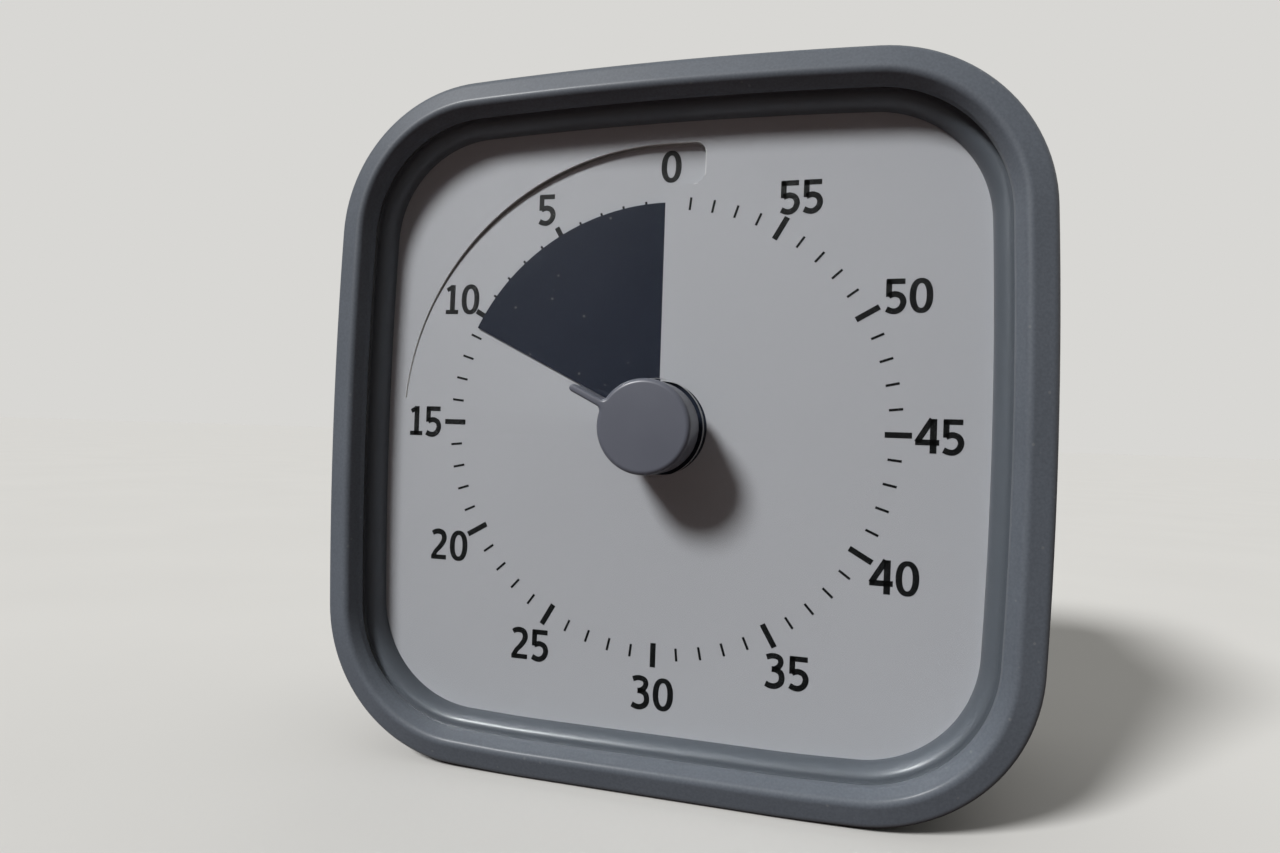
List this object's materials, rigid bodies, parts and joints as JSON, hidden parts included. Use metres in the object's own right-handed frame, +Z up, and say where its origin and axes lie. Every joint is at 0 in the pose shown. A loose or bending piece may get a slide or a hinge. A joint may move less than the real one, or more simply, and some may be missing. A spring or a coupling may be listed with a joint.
{
  "type": "visual countdown timer",
  "caption": "Square desk countdown timer: a knob turns a coloured film disk out through a slit in the dial, in a soft sleeve, with battery door and sound switch behind.",
  "frame": {"origin": "middle of the part's box in width and depth, on the plane that the sleeve stands on", "axes": "+Z up, the dial faces -Y, +X to the right as seen from the front"},
  "size_m": [0.0902, 0.0477, 0.09],
  "materials": {
    "silicone": "matte moulded silicone, soft edges",
    "case_plastic": "fine spark-eroded texture",
    "surround_plastic": "smooth moulded",
    "window": "clear acrylic, polished",
    "dial_print": "matt printed plastic sheet",
    "tray_plastic": "moulded",
    "film": "coloured film, satin",
    "knob_plastic": "satin moulded",
    "acetal": "moulded acetal",
    "steel": "turned steel",
    "spring_steel": "rolled strip",
    "plated_steel": "nickel plated",
    "brass": "turned",
    "phosphor_bronze": "rolled strip",
    "motor_can": "drawn can",
    "cover_plastic": "moulded",
    "laminate": "glass-fibre laminate with solder mask",
    "component_black": "moulded epoxy",
    "piezo_brass": "brass disc with ceramic",
    "switch_black": "moulded nylon",
    "cell_wrap": "plain shrink sleeve",
    "lead_red": "vinyl insulation",
    "lead_black": "vinyl insulation",
    "lead_blue": "vinyl insulation"
  },
  "bodies": {
    "case": {"sleeve": "silicone", "front_case": "case_plastic", "rear_case": "case_plastic", "dial_surround": "surround_plastic", "lens": "window", "dial_face": "dial_print", "dial_carrier": "tray_plastic", "idler_pin": "steel", "motor": "motor_can", "movement_plate": "cover_plastic", "movement_cover": "cover_plastic", "spindle_bush": "brass", "alarm_contacts": "phosphor_bronze", "circuit_board": "laminate", "board_parts": "component_black", "buzzer": "piezo_brass", "switch_body": "plated_steel", "battery": "cell_wrap", "battery_spring": "plated_steel", "battery_plate": "plated_steel", "case_screws": "plated_steel", "carrier_screws": "plated_steel", "movement_screws": "plated_steel", "board_screws": "plated_steel", "battery_leads": "lead_red", "buzzer_leads": "lead_black", "motor_leads": "lead_blue"},
    "knob": {"knob": "knob_plastic", "spindle": "steel", "spindle_wheel": "acetal", "clutch_spring": "spring_steel", "retaining_clip": "spring_steel", "zero_cam": "acetal"},
    "film": {"timer_disk": "film", "disk_collar": "acetal"},
    "idler": {"idler_wheel": "acetal"},
    "motor_shaft": {"motor_pinion": "brass"},
    "switch": {"switch_slider": "switch_black"},
    "door": {"battery_door": "case_plastic"}
  },
  "joints": [
    {"name": "knob_turn", "type": "hinge", "parent": "case", "child": "knob", "pos_m": [0, -0.01435, 0.04485], "axis": [0, -1, 0], "range_deg": [-63.6, 296.4]},
    {"name": "film_climb", "type": "slide", "parent": "knob", "child": "film", "axis": [0, -1, 0], "range_m": [-0.00048, 0.00218]},
    {"name": "idler_spin", "type": "hinge", "parent": "case", "child": "idler", "pos_m": [0.0105, -0.00435, 0.04485], "axis": [0, -1, 0], "continuous": true},
    {"name": "motor_spin", "type": "hinge", "parent": "case", "child": "motor_shaft", "pos_m": [0.0105, -0.00235, 0.05355], "axis": [0, -1, 0], "continuous": true},
    {"name": "sound_switch", "type": "slide", "parent": "case", "child": "switch", "axis": [1, 0, 0], "range_m": [0, 0.003]},
    {"name": "battery_door_swing", "type": "hinge", "parent": "case", "child": "door", "pos_m": [0, 0.02285, 0.01615], "axis": [-1, 0, 0], "range_deg": [0, 90]}
  ],
  "couplings": [
    {"joint": "film_climb", "follows": "knob_turn", "m_per_rad": 0.00042017},
    {"joint": "idler_spin", "follows": "knob_turn", "ratio": -6},
    {"joint": "motor_spin", "follows": "knob_turn", "ratio": 28.8}
  ]
}
